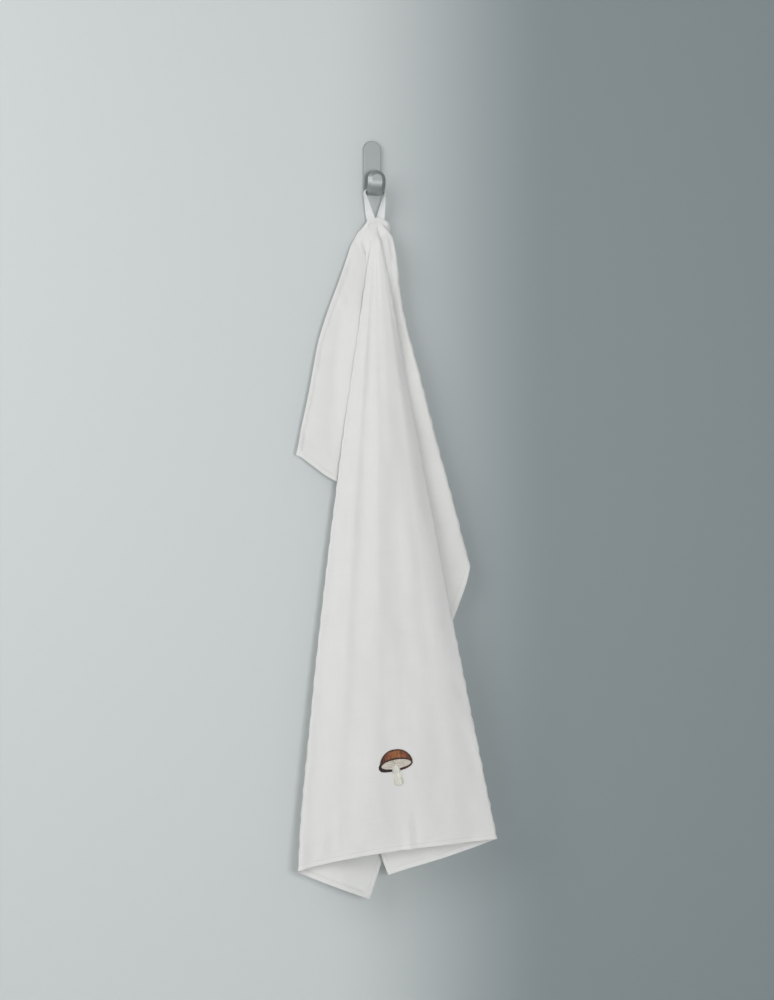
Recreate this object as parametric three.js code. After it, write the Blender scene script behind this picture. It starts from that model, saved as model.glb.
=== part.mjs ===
// A tea towel hanging by its sewn loop from a plain bent-strip wall hook.
// Sizes are in millimetres. X runs right along the wall, Y runs into the wall and Z is up.
// The origin lies on the back face of the hook's plate, where the plate meets the wall.
import * as THREE from "three";

// Cloth as it is cut and hemmed. The loop is sewn to the short top edge, off its middle.
const TOWEL_WIDTH = 500;
const TOWEL_LENGTH = 700;
const LEFT_OF_LOOP = 290;
const RIGHT_OF_LOOP = TOWEL_WIDTH - LEFT_OF_LOOP;
const CLOTH_THICKNESS = 1;

// Hook: one flat strip, bent into a J below the plate, with both ends rounded.
const STRIP_WIDTH = 20.5;
const STRIP_THICKNESS = 4;
const STRIP_CHAMFER = 1;
const PLATE_TOP = 22.6;
const BEND_HEIGHT = -25.5;
const BEND_INNER_RADIUS = 11;
const TONGUE_TOP = -13.8;
const TIP_HALF_WIDTH = 1.2;

// Loop: a woven tape that lies across the bend and drops past both edges of the strip.
const TAPE_WIDTH = 10;
const TAPE_THICKNESS = 1;
const TAPE_CHAMFER = 0.3;
const TAPE_HANG_SPREAD = 11.5;
const TAPE_TURN_RADIUS = 3;
const SEWN_LENGTH = 5;
const SEWN_SPACING = 10.4;
const SEAM_GAP = 0.6;
const SEAT_GAP = 0.35;

// Where the loop meets the top edge. Every fold of the hanging cloth fans out from here.
const APEX = new THREE.Vector3(2.3, -13, -67);

// Distances from the loop, along the cloth. The cloth turns down from flat between the first two,
// spreads in depth between the next two and goes over from gathers to pleats between the last two.
const TURN_START = 3;
const TURN_END = 29;
const SPREAD_START = 12;
const SPREAD_END = 28;
const GATHER_END = 30;
const PLEAT_START = 60;

// Distances from the loop at which the table of folds gives its three values.
const NECK_RADIUS = 40;
const MIDDLE_RADIUS = 300;
const FOOT_RADIUS = 700;

// A turn takes up at most this share of the pleats beside it, and is this much longer than half a circle.
const WIDEST_TURN = 0.4;
const TURN_FULLNESS = 1.2;

// Half the length of cloth over which a soft ridge or trough is rounded.
const SOFT_LENGTH = 16;

// The hanging folds, from the left end of the top edge to its right end.
// cloth: angle of the fold on the flat cloth about the loop, in degrees from straight down.
// swing: lean of the hanging fold to the right of plumb, in degrees.
// depth: distance from the wall.
// turn: depth taken up where the cloth turns back on itself. A soft ridge or trough has none.
// The last three are given at the neck, half way down and at the foot.
const FOLDS = [
  { name: "left_corner", cloth: -90, swing: [-19.3, -11, 4], depth: [9.5, 14.5, 19], turn: [0, 0, 0] },
  { name: "back_pleat_outer", cloth: -58, swing: [11, 8.5, 8.5], depth: [11.2, 17, 22.5], turn: [2, 3, 4.6] },
  { name: "back_pleat_inner", cloth: -46.5, swing: [1, 1, 1], depth: [13, 19, 25], turn: [2, 3, 4.6] },
  { name: "left_under", cloth: -35, swing: [12, 12, 16], depth: [14.8, 21, 28], turn: [2, 3, 4.6] },
  { name: "left_front", cloth: -16.2, swing: [-10, -8.6, -6.3], depth: [17.4, 26.5, 42], turn: [3, 6, 12] },
  { name: "trough_left", cloth: -11, swing: [-4.6, -4.2, -2.4], depth: [19.8, 38, 56], turn: [0, 0, 0] },
  { name: "ridge_middle", cloth: -5.8, swing: [-0.4, -0.2, 0.7], depth: [22.4, 43.6, 62.5], turn: [0, 0, 0] },
  { name: "trough_right", cloth: -1.8, swing: [2.9, 3, 3.7], depth: [23.8, 45.2, 65], turn: [0, 0, 0] },
  { name: "ridge_right", cloth: 2.4, swing: [6.4, 6.6, 7.3], depth: [24, 44.2, 63.5], turn: [0, 0, 0] },
  { name: "right_front", cloth: 6.9, swing: [10.6, 11, 11.9], depth: [22.9, 39, 55], turn: [2.4, 6, 10] },
  { name: "right_under", cloth: 17.4, swing: [-1.5, -3.8, 6.6], depth: [20.4, 34, 46], turn: [2.3, 4.4, 7] },
  { name: "right_edge", cloth: 31.8, swing: [16.9, 16.1, 15.4], depth: [12.8, 19.2, 22], turn: [8.2, 7.6, 2] },
  { name: "wall_pleat_inner", cloth: 55, swing: [-11, -11, -11], depth: [6.8, 8.2, 10], turn: [2, 3.2, 5] },
  { name: "wall_pleat_outer", cloth: 73, swing: [6, 6, 6], depth: [4.8, 6.2, 8], turn: [2, 3.2, 5] },
  { name: "right_corner", cloth: 90, swing: [-9, -9, -9], depth: [2.8, 4, 4.5], turn: [0, 0, 0] },
];

// How finely the hook, the tape and the hanging sheet are faceted.
const END_STEPS = 8;
const BEND_STEPS = 16;
const TURN_STEPS = 5;
const STRAND_STEPS = 10;
const COLUMNS_PER_PLEAT = 3;
const TURN_COLUMNS = [-1, -0.5, 0, 0.5, 1];
const NECK_ROWS = 12;
const NECK_ROWS_END = 180;
const LOWER_ROWS = 9;
const FIRST_RADIUS = 2;
const MARCH_STEP = 2;

const smoothstep = THREE.MathUtils.smoothstep;
const lerp = THREE.MathUtils.lerp;
const radians = THREE.MathUtils.degToRad;

// Length of the flat cloth from the loop to its edge, along one angle.
function reachOf(angle) {
  const side = angle < 0 ? LEFT_OF_LOOP : RIGHT_OF_LOOP;
  const toBottom = TOWEL_LENGTH / Math.max(Math.cos(radians(angle)), 1e-6);
  const toSide = side / Math.max(Math.sin(radians(Math.abs(angle))), 1e-6);
  return Math.min(toBottom, toSide);
}

// A fold's lean, depth or turn at a distance from the loop, on a curve through its three values.
function foldValue(fold, column, radius) {
  const [neck, middle, foot] = fold[column];
  const r = Math.max(radius, NECK_RADIUS);
  const first = (middle - neck) / (MIDDLE_RADIUS - NECK_RADIUS);
  const second = (foot - middle) / (FOOT_RADIUS - MIDDLE_RADIUS);
  const bow = (second - first) / (FOOT_RADIUS - NECK_RADIUS);
  return neck + first * (r - NECK_RADIUS) + bow * (r - NECK_RADIUS) * (r - MIDDLE_RADIUS);
}

// Half the angle of flat cloth that makes a fold's turn, kept within the pleats beside it.
// A turn is about half round, so half its length is a quarter of a circle as deep as the turn.
function turnAngle(index, radius) {
  const fold = FOLDS[index];
  const room = Math.min(fold.cloth - FOLDS[index - 1].cloth, FOLDS[index + 1].cloth - fold.cloth);
  const turned = (Math.PI / 4) * TURN_FULLNESS * foldValue(fold, "turn", radius);
  const length = isSoft(fold) ? SOFT_LENGTH : turned;
  return Math.min(THREE.MathUtils.radToDeg(length / radius), WIDEST_TURN * room);
}

function isSoft(fold) {
  return fold.turn[0] === 0;
}

// The row of the table at or before an angle of the flat cloth.
function foldBefore(angle) {
  let index = 0;
  while (index + 2 < FOLDS.length && FOLDS[index + 1].cloth <= angle) index++;
  return index;
}

// Lean of the hanging cloth: straight from fold to fold, with each fold's corner rounded off.
function leanAt(angle, radius) {
  const swing = FOLDS.map((fold) => foldValue(fold, "swing", radius));
  const slope = (i) => (swing[i + 1] - swing[i]) / (FOLDS[i + 1].cloth - FOLDS[i].cloth);
  const index = foldBefore(angle);
  let lean = swing[index] + slope(index) * (angle - FOLDS[index].cloth);
  for (let i = Math.max(index, 1); i <= Math.min(index + 1, FOLDS.length - 2); i++) {
    const half = turnAngle(i, radius);
    const inside = Math.max(half - Math.abs(angle - FOLDS[i].cloth), 0);
    lean += ((slope(i) - slope(i - 1)) * inside ** 2) / (4 * half);
  }
  return lean;
}

// Depth of the hanging cloth. Gathered at the neck, it runs evenly from fold to fold.
// Below the neck each fold turns through its own depth, and the pleats lie flatter between the turns.
function depthAt(angle, radius) {
  const index = foldBefore(angle);
  const share = (angle - FOLDS[index].cloth) / (FOLDS[index + 1].cloth - FOLDS[index].cloth);
  const depth = FOLDS.map((fold) => foldValue(fold, "depth", radius));
  const gathered = lerp(depth[index], depth[index + 1], share);
  const turned = turnedDepth(angle, radius, index, depth);
  return lerp(gathered, turned, smoothstep(radius, GATHER_END, PLEAT_START));
}

function turnedDepth(angle, radius, index, depth) {
  const halfAngle = (i) => (isSoft(FOLDS[i]) ? 0 : turnAngle(i, radius));
  const halfTurn = (i) => {
    if (isSoft(FOLDS[i])) return 0;
    return (Math.sign(depth[i + 1] - depth[i - 1]) * foldValue(FOLDS[i], "turn", radius)) / 2;
  };
  for (const i of [index, index + 1]) {
    const share = (angle - FOLDS[i].cloth) / halfAngle(i);
    if (Math.abs(share) < 1) return depth[i] + halfTurn(i) * Math.sin((Math.PI / 2) * share);
  }
  const start = FOLDS[index].cloth + halfAngle(index);
  const end = FOLDS[index + 1].cloth - halfAngle(index + 1);
  const from = depth[index] + halfTurn(index);
  const to = depth[index + 1] - halfTurn(index + 1);
  return lerp(from, to, smoothstep(angle, start, end));
}

// Distance from the loop of one row of the sheet. Rows lie close at the neck, then evenly to the edge.
function rowRadius(row, angle) {
  if (row <= NECK_ROWS) return lerp(FIRST_RADIUS, NECK_ROWS_END, (row / NECK_ROWS) ** 1.7);
  return lerp(NECK_ROWS_END, reachOf(angle), (row - NECK_ROWS) / LOWER_ROWS);
}

// Half the angle of a fold's turn on one row. A soft fold has no turn.
function halfTurnOnRow(index, row) {
  return isSoft(FOLDS[index]) ? 0 : turnAngle(index, rowRadius(row, FOLDS[index].cloth));
}

// The stretch of flat cloth between two turns on one row.
function pleatOnRow(index, row) {
  const start = FOLDS[index].cloth + halfTurnOnRow(index, row);
  const end = FOLDS[index + 1].cloth - halfTurnOnRow(index + 1, row);
  return [start, end];
}

// The sheet's columns: some round each turn, some across each pleat and one to each lower corner.
function sheetColumns() {
  const corners = [-LEFT_OF_LOOP, RIGHT_OF_LOOP].map((side) => Math.atan(side / TOWEL_LENGTH));
  const columns = [];
  FOLDS.forEach((fold, index) => {
    for (const offset of isSoft(fold) ? [0] : TURN_COLUMNS) {
      columns.push((row) => fold.cloth + offset * halfTurnOnRow(index, row));
    }
    if (index + 1 === FOLDS.length) return;
    const shares = [];
    for (let k = 1; k <= COLUMNS_PER_PLEAT; k++) {
      shares.push(k / (COLUMNS_PER_PLEAT + 1));
    }
    const [start, end] = pleatOnRow(index, NECK_ROWS + LOWER_ROWS);
    for (const corner of corners.map(THREE.MathUtils.radToDeg)) {
      if (start < corner && corner < end) shares.push((corner - start) / (end - start));
    }
    for (const share of shares.sort((a, b) => a - b)) {
      columns.push((row) => lerp(...pleatOnRow(index, row), share));
    }
  });
  return columns;
}

// A point of the hanging cloth. It leaves the loop flat, then turns down into its fold.
function clothPoint(angle, radius) {
  const steps = Math.ceil(radius / MARCH_STEP);
  const step = radius / steps;
  const point = APEX.clone();
  for (let k = 0; k < steps; k++) {
    const middle = (k + 0.5) * step;
    const lean = radians(lerp(angle, leanAt(angle, middle), smoothstep(middle, TURN_START, TURN_END)));
    point.x += step * Math.sin(lean);
    point.z -= step * Math.cos(lean);
  }
  point.y = lerp(APEX.y, -depthAt(angle, radius), smoothstep(radius, SPREAD_START, SPREAD_END));
  return point;
}

function clothColumn(angleOnRow) {
  const points = [];
  for (let row = 0; row <= NECK_ROWS + LOWER_ROWS; row++) {
    const angle = angleOnRow(row);
    points.push(clothPoint(angle, rowRadius(row, angle)));
  }
  return points;
}

// Direction of a line through a point, halfway between its directions before and after the point.
function through(before, point, after) {
  const direction = new THREE.Vector3();
  if (before) direction.add(point.clone().sub(before).normalize());
  if (after) direction.add(after.clone().sub(point).normalize());
  return direction;
}

// A closed sheet of even thickness about a grid of points.
function thickSheet(grid, thickness) {
  const columns = grid.length;
  const rows = grid[0].length;
  const positions = [];
  for (const side of [-1, 1]) {
    for (let i = 0; i < columns; i++) {
      for (let k = 0; k < rows; k++) {
        const across = through(grid[i - 1]?.[k], grid[i][k], grid[i + 1]?.[k]);
        const down = through(grid[i][k - 1], grid[i][k], grid[i][k + 1]);
        const normal = across.cross(down).normalize();
        positions.push(...grid[i][k].clone().addScaledVector(normal, (side * thickness) / 2).toArray());
      }
    }
  }
  const at = (side, i, k) => side * columns * rows + i * rows + k;
  const index = [];
  const quad = (a, b, c, d) => index.push(a, b, c, a, c, d);
  for (let i = 0; i + 1 < columns; i++) {
    for (let k = 0; k + 1 < rows; k++) {
      quad(at(0, i, k), at(0, i, k + 1), at(0, i + 1, k + 1), at(0, i + 1, k));
      quad(at(1, i, k), at(1, i + 1, k), at(1, i + 1, k + 1), at(1, i, k + 1));
    }
    quad(at(0, i, 0), at(0, i + 1, 0), at(1, i + 1, 0), at(1, i, 0));
    quad(at(0, i + 1, rows - 1), at(0, i, rows - 1), at(1, i, rows - 1), at(1, i + 1, rows - 1));
  }
  for (let k = 0; k + 1 < rows; k++) {
    quad(at(0, 0, k + 1), at(0, 0, k), at(1, 0, k), at(1, 0, k + 1));
    const end = columns - 1;
    quad(at(0, end, k), at(0, end, k + 1), at(1, end, k + 1), at(1, end, k));
  }
  return geometryOf(positions, index);
}

// A closed strip with chamfered edges, swept through a list of stations.
// Each station has a centre, a direction that the width lies along, and a half width.
function strip(stations, thickness, chamfer) {
  const half = thickness / 2;
  const positions = [];
  stations.forEach(({ centre, wide, halfWidth }, i) => {
    const before = stations[Math.max(i - 1, 0)].centre;
    const after = stations[Math.min(i + 1, stations.length - 1)].centre;
    const thick = after.clone().sub(before).cross(wide).normalize();
    const cut = Math.min(chamfer, halfWidth / 2);
    const outline = [
      [halfWidth - cut, -half], [halfWidth, cut - half], [halfWidth, half - cut], [halfWidth - cut, half],
      [cut - halfWidth, half], [-halfWidth, half - cut], [-halfWidth, cut - half], [cut - halfWidth, -half],
    ];
    for (const [w, t] of outline) {
      positions.push(...centre.clone().addScaledVector(wide, w).addScaledVector(thick, t).toArray());
    }
  });
  const sides = 8;
  const last = (stations.length - 1) * sides;
  const index = [];
  for (let i = 0; i + 1 < stations.length; i++) {
    for (let j = 0; j < sides; j++) {
      const a = i * sides + j;
      const b = i * sides + ((j + 1) % sides);
      index.push(a, b, b + sides, a, b + sides, a + sides);
    }
  }
  for (let j = 1; j + 1 < sides; j++) {
    index.push(0, j + 1, j, last, last + j, last + j + 1);
  }
  return geometryOf(positions, index);
}

function geometryOf(positions, index) {
  const geometry = new THREE.BufferGeometry();
  geometry.setAttribute("position", new THREE.Float32BufferAttribute(positions, 3));
  geometry.setIndex(index);
  geometry.computeVertexNormals();
  return geometry;
}

// The hook's middle line: from the plate's rounded top, round the bend, to the tongue's rounded top.
function hookStations() {
  const across = new THREE.Vector3(1, 0, 0);
  const round = STRIP_WIDTH / 2;
  const plateY = -STRIP_THICKNESS / 2;
  const bendRadius = BEND_INNER_RADIUS + STRIP_THICKNESS / 2;
  const bendY = plateY - bendRadius;
  const station = (y, z, halfWidth) => ({ centre: new THREE.Vector3(0, y, z), wide: across, halfWidth });
  const stations = [];
  const tip = Math.asin(TIP_HALF_WIDTH / round);
  for (let k = 0; k <= END_STEPS; k++) {
    const turn = lerp(tip, Math.PI / 2, k / END_STEPS);
    const z = PLATE_TOP - round * (1 - Math.cos(turn));
    stations.push(station(plateY, z, round * Math.sin(turn)));
  }
  for (let k = 0; k <= BEND_STEPS; k++) {
    const turn = (Math.PI * k) / BEND_STEPS;
    const y = bendY + bendRadius * Math.cos(turn);
    stations.push(station(y, BEND_HEIGHT - bendRadius * Math.sin(turn), round));
  }
  for (let k = END_STEPS; k >= 0; k--) {
    const turn = lerp(tip, Math.PI / 2, k / END_STEPS);
    const z = TONGUE_TOP - round * (1 - Math.cos(turn));
    stations.push(station(bendY - bendRadius, z, round * Math.sin(turn)));
  }
  return stations;
}

// The tape's middle line: sewn end, left strand, across the bend, right strand, sewn end.
// Over the bend the tape lies flat with its width along Y. Each strand turns to the front as it drops.
function tapeStations() {
  const bendY = -(STRIP_THICKNESS + BEND_INNER_RADIUS);
  const halfTape = TAPE_WIDTH / 2;
  const seat = BEND_HEIGHT - Math.sqrt(BEND_INNER_RADIUS ** 2 - halfTape ** 2);
  const top = seat + SEAT_GAP + TAPE_THICKNESS / 2;
  const sewnY = APEX.y + CLOTH_THICKNESS / 2 + SEAM_GAP + TAPE_THICKNESS / 2;
  const strandTop = top - TAPE_TURN_RADIUS;
  const rightHalf = [];
  const station = (x, y, z, facing) => ({
    centre: new THREE.Vector3(x, y, z),
    wide: new THREE.Vector3(Math.sin(facing), -Math.cos(facing), 0),
    halfWidth: halfTape,
  });
  for (let k = 0; k <= TURN_STEPS; k++) {
    const turn = (Math.PI / 2) * (k / TURN_STEPS);
    const x = TAPE_HANG_SPREAD - TAPE_TURN_RADIUS * (1 - Math.sin(turn));
    rightHalf.push(station(x, bendY, strandTop + TAPE_TURN_RADIUS * Math.cos(turn), 0));
  }
  for (let k = 1; k <= STRAND_STEPS; k++) {
    const share = k / STRAND_STEPS;
    const ease = smoothstep(share, 0.1, 0.9);
    const x = lerp(TAPE_HANG_SPREAD, SEWN_SPACING / 2, share ** 1.5);
    const z = lerp(strandTop, APEX.z, share);
    rightHalf.push(station(x, lerp(bendY, sewnY, ease), z, (Math.PI / 2) * ease));
  }
  rightHalf.push(station(SEWN_SPACING / 2, sewnY, APEX.z - SEWN_LENGTH, Math.PI / 2));
  const leftHalf = rightHalf.map(({ centre, wide, halfWidth }) => ({
    centre: new THREE.Vector3(-centre.x, centre.y, centre.z),
    wide: new THREE.Vector3(-wide.x, wide.y, wide.z),
    halfWidth,
  }));
  const stations = [...leftHalf.reverse(), ...rightHalf];
  const dropTo = APEX.z - strandTop;
  for (const { centre } of stations) {
    centre.x += APEX.x * THREE.MathUtils.clamp((centre.z - strandTop) / dropTo, 0, 1);
  }
  return stations;
}

function part(name, geometry, color, roughness, metalness) {
  const mesh = new THREE.Mesh(geometry, new THREE.MeshStandardMaterial({ color, roughness, metalness }));
  mesh.name = name;
  return mesh;
}

const towelOnHook = new THREE.Group();
towelOnHook.add(
  part("wall_hook", strip(hookStations(), STRIP_THICKNESS, STRIP_CHAMFER), 0x9a9d9c, 0.38, 1),
  part("hanging_loop", strip(tapeStations(), TAPE_THICKNESS, TAPE_CHAMFER), 0xe6e7e4, 0.9, 0),
  part("towel", thickSheet(sheetColumns().map(clothColumn), CLOTH_THICKNESS), 0xe9e9e6, 0.92, 0),
);

export default towelOnHook;
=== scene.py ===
# %% [markdown]
# # A tea towel on a wall hook
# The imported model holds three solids: a bent metal strip, a loop of tape and one sheet of cloth. They
# give every place and size. Here each one is replaced by a finer mesh that lies where its solid lies.
# Tables of the cloth are in millimetres, the way a maker measures it, and MM turns them into metres.

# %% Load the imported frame
import math
import bmesh
import bpy
import numpy as np
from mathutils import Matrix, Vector


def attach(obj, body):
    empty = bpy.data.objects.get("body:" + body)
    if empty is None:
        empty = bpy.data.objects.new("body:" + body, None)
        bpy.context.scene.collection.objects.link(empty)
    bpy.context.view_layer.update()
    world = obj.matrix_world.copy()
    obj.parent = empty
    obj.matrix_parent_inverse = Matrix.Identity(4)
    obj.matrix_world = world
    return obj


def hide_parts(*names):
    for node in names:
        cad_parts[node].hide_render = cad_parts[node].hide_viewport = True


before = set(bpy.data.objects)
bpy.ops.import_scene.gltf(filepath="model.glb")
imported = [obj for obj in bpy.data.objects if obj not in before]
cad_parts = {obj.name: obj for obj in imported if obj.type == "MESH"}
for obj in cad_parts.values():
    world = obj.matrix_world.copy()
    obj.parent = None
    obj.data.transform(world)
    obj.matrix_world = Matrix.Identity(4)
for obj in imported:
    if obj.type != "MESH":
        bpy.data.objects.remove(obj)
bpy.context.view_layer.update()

MM = 0.001

# %% [markdown]
# ## The camera
# The picture is taken level, from a little to the left, with a long lens, so that the cloth keeps its
# true shape. A camera could be turned by hand until it looks right. Here it is placed from three numbers
# that can be read: the point it aims at, how far off it stands and how many millimetres one pixel covers
# there.

# %% Camera
VIEW_TURN = math.radians(-13)
VIEW_DISTANCE = 2.5
VIEW_TARGET = Vector((0.018, 0, -0.382))
PICTURE_HEIGHT = 1000
SIZE_OF_PIXEL = 1.13 * MM

looking = Vector((-math.sin(VIEW_TURN), math.cos(VIEW_TURN), 0))
camera = bpy.data.objects.new("camera", bpy.data.cameras.new("camera"))
bpy.context.scene.collection.objects.link(camera)
camera.location = VIEW_TARGET - VIEW_DISTANCE * looking
camera.rotation_euler = looking.to_track_quat("-Z", "Y").to_euler()
half_height = PICTURE_HEIGHT * SIZE_OF_PIXEL / 2
camera.data.lens = camera.data.sensor_width / 2 * VIEW_DISTANCE / half_height
camera.data.clip_end = 50
bpy.context.scene.camera = camera
print("camera", [round(x, 3) for x in camera.location], "lens", round(camera.data.lens, 1), "mm")

# %% [markdown]
# ## The hanging cloth
# A towel that hangs from one point falls in folds that all start there. On the flat cloth each fold is a
# straight line from the loop, so a place on the cloth is given by its angle about the loop and its
# distance from it. The table says how each fold leans, how far it stands in front of the hook's back face
# and how deep it turns back on itself, at the neck, half way down and at the foot. A simulated drop would
# not give the same folds again, so the hang is worked out.

# %% Sizes and folds of the towel
TOWEL_WIDTH = 500
TOWEL_LENGTH = 700
LEFT_OF_LOOP = 290
RIGHT_OF_LOOP = TOWEL_WIDTH - LEFT_OF_LOOP
LOOP_POINT = np.array([2.3, -13, -67])
TURN_START, TURN_END = 3, 29
SPREAD_START, SPREAD_END = 12, 28
GATHER_END, PLEAT_START = 30, 60
NECK_RADIUS, MIDDLE_RADIUS, FOOT_RADIUS = 40, 300, 700
WIDEST_TURN = 0.4
TURN_FULLNESS = 1.2
SOFT_LENGTH = 16

# name, angle on the cloth in degrees, lean in degrees, distance from the back face, depth of the turn
FOLDS = [
    ("left_corner", -90, (-19.3, -11, 4), (9.5, 14.5, 19), (0, 0, 0)),
    ("back_pleat_outer", -58, (11, 8.5, 8.5), (11.2, 17, 22.5), (2, 3, 4.6)),
    ("back_pleat_inner", -46.5, (1, 1, 1), (13, 19, 25), (2, 3, 4.6)),
    ("left_under", -35, (12, 12, 16), (14.8, 21, 28), (2, 3, 4.6)),
    ("left_front", -16.2, (-9.8, -8.1, -6), (17.4, 26.5, 42), (1.5, 2.5, 12)),
    ("trough_left", -11, (-4.6, -4.2, -2.4), (19.8, 38, 56), (0, 0, 0)),
    ("ridge_middle", -5.8, (-0.4, -0.2, 0.7), (22.4, 43.6, 62.5), (0, 0, 0)),
    ("trough_right", -1.8, (2.9, 3, 3.7), (23.8, 45.2, 65), (0, 0, 0)),
    ("ridge_right", 2.4, (6.4, 6.6, 7.3), (24, 44.2, 63.5), (0, 0, 0)),
    ("right_front", 6.9, (10.6, 10.8, 11.5), (22.9, 39, 55), (1.6, 3, 8)),
    ("right_under", 17.4, (-1.5, -3.8, 6.6), (20.4, 34, 46), (2.3, 4.4, 7)),
    ("right_edge", 31.8, (16.9, 16.1, 15.4), (12.8, 19.2, 22), (8.2, 7.6, 2)),
    ("wall_pleat_inner", 55, (-11, -11, -11), (6.8, 8.2, 10), (2, 3.2, 5)),
    ("wall_pleat_outer", 73, (6, 6, 6), (4.8, 6.2, 8), (2, 3.2, 5)),
    ("right_corner", 90, (-9, -9, -9), (2.8, 4, 4.5), (0, 0, 0)),
]
fold_names = [row[0] for row in FOLDS]
fold_angle = np.array([row[1] for row in FOLDS], float)
fold_swing, fold_depth, fold_turn = (np.array([row[k] for row in FOLDS], float) for k in (2, 3, 4))
is_soft = fold_turn[:, 0] == 0
gaps = np.diff(fold_angle)
fold_room = np.minimum(np.append(gaps, np.inf), np.insert(gaps, 0, np.inf))
print("folds", len(FOLDS), "of which soft", int(is_soft.sum()))


# %% Values of a fold along its length
def smooth(x, start, end):
    """Rises softly from 0 at the start to 1 at the end. The start may be the larger of the two."""
    share = np.clip((x - start) / (end - start), 0, 1)
    return share * share * (3 - 2 * share)


def mix(a, b, share):
    """The value that lies a share of the way from a to b."""
    return a + (b - a) * share


def bell(x):
    """One in the middle, and falling away softly on both sides."""
    return np.exp(-(x**2))


def fold_values(column, radius):
    """Each fold's lean, depth or turn at each distance from the loop, on a curve through three values."""
    r = np.maximum(radius, NECK_RADIUS)[None]
    neck, middle, foot = (column[:, k : k + 1] for k in range(3))
    first = (middle - neck) / (MIDDLE_RADIUS - NECK_RADIUS)
    second = (foot - middle) / (FOOT_RADIUS - MIDDLE_RADIUS)
    bow = (second - first) / (FOOT_RADIUS - NECK_RADIUS)
    return neck + first * (r - NECK_RADIUS) + bow * (r - NECK_RADIUS) * (r - MIDDLE_RADIUS)


def turn_angles(radius):
    """Half the angle of cloth that makes each fold's turn: a quarter of a circle as deep as the turn."""
    turned = math.pi / 4 * TURN_FULLNESS * fold_values(fold_turn, radius)
    length = np.where(is_soft[:, None], SOFT_LENGTH, turned)
    return np.minimum(np.degrees(length / radius[None]), WIDEST_TURN * fold_room[:, None])


half_turns = turn_angles(np.array([200.0]))[:, 0]
print("half turns at 200 mm", dict(zip(fold_names, half_turns.round(1))))


# %% Lean and depth of the cloth at any place
def lean_at(angle, radius):
    """Lean in degrees: straight from fold to fold, with each fold's corner rounded off."""
    each = np.arange(len(angle))
    last = len(fold_angle) - 2
    before = np.clip(np.searchsorted(fold_angle, angle, side="right") - 1, 0, last)
    swing = fold_values(fold_swing, radius)
    slope = np.diff(swing, axis=0) / gaps[:, None]
    half = turn_angles(radius)
    lean = swing[before, each] + slope[before, each] * (angle - fold_angle[before])
    for near in (before, before + 1):
        inner = np.clip(near, 1, last)
        inside = np.maximum(half[inner, each] - np.abs(angle - fold_angle[inner]), 0)
        corner = (slope[inner, each] - slope[inner - 1, each]) * inside**2 / (4 * half[inner, each])
        lean = lean + np.where(near == inner, corner, 0)
    return lean


def depth_at(angle, radius):
    """Distance from the back face: even between folds at the neck, and turned round each fold below it."""
    each = np.arange(len(angle))
    before = np.clip(np.searchsorted(fold_angle, angle, side="right") - 1, 0, len(fold_angle) - 2)
    depth = fold_values(fold_depth, radius)
    up = np.vstack([depth[1:], depth[-1:]])
    down = np.vstack([depth[:1], depth[:-1]])
    half_turn = np.where(is_soft[:, None], 0, np.sign(up - down) * fold_values(fold_turn, radius) / 2)
    half = np.where(is_soft[:, None], 0, turn_angles(radius))
    start = fold_angle[before] + half[before, each]
    end = fold_angle[before + 1] - half[before + 1, each]
    leaving = depth[before, each] + half_turn[before, each]
    arriving = depth[before + 1, each] - half_turn[before + 1, each]
    turned = mix(leaving, arriving, smooth(angle, start, end))
    for near in (before, before + 1):
        away = angle - fold_angle[near]
        inside = np.abs(away) < half[near, each]
        share = away / np.where(inside, half[near, each], 1)
        nose = depth[near, each] + half_turn[near, each] * np.sin(math.pi / 2 * np.clip(share, -1, 1))
        turned = np.where(inside, nose, turned)
    share = (angle - fold_angle[before]) / gaps[before]
    gathered = mix(depth[before, each], depth[before + 1, each], share)
    return mix(gathered, turned, smooth(radius, GATHER_END, PLEAT_START))


probe = np.array([-4.0]), np.array([600.0])
print("front panel at 600 mm: lean", lean_at(*probe).round(2), "depth", depth_at(*probe).round(1))
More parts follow.
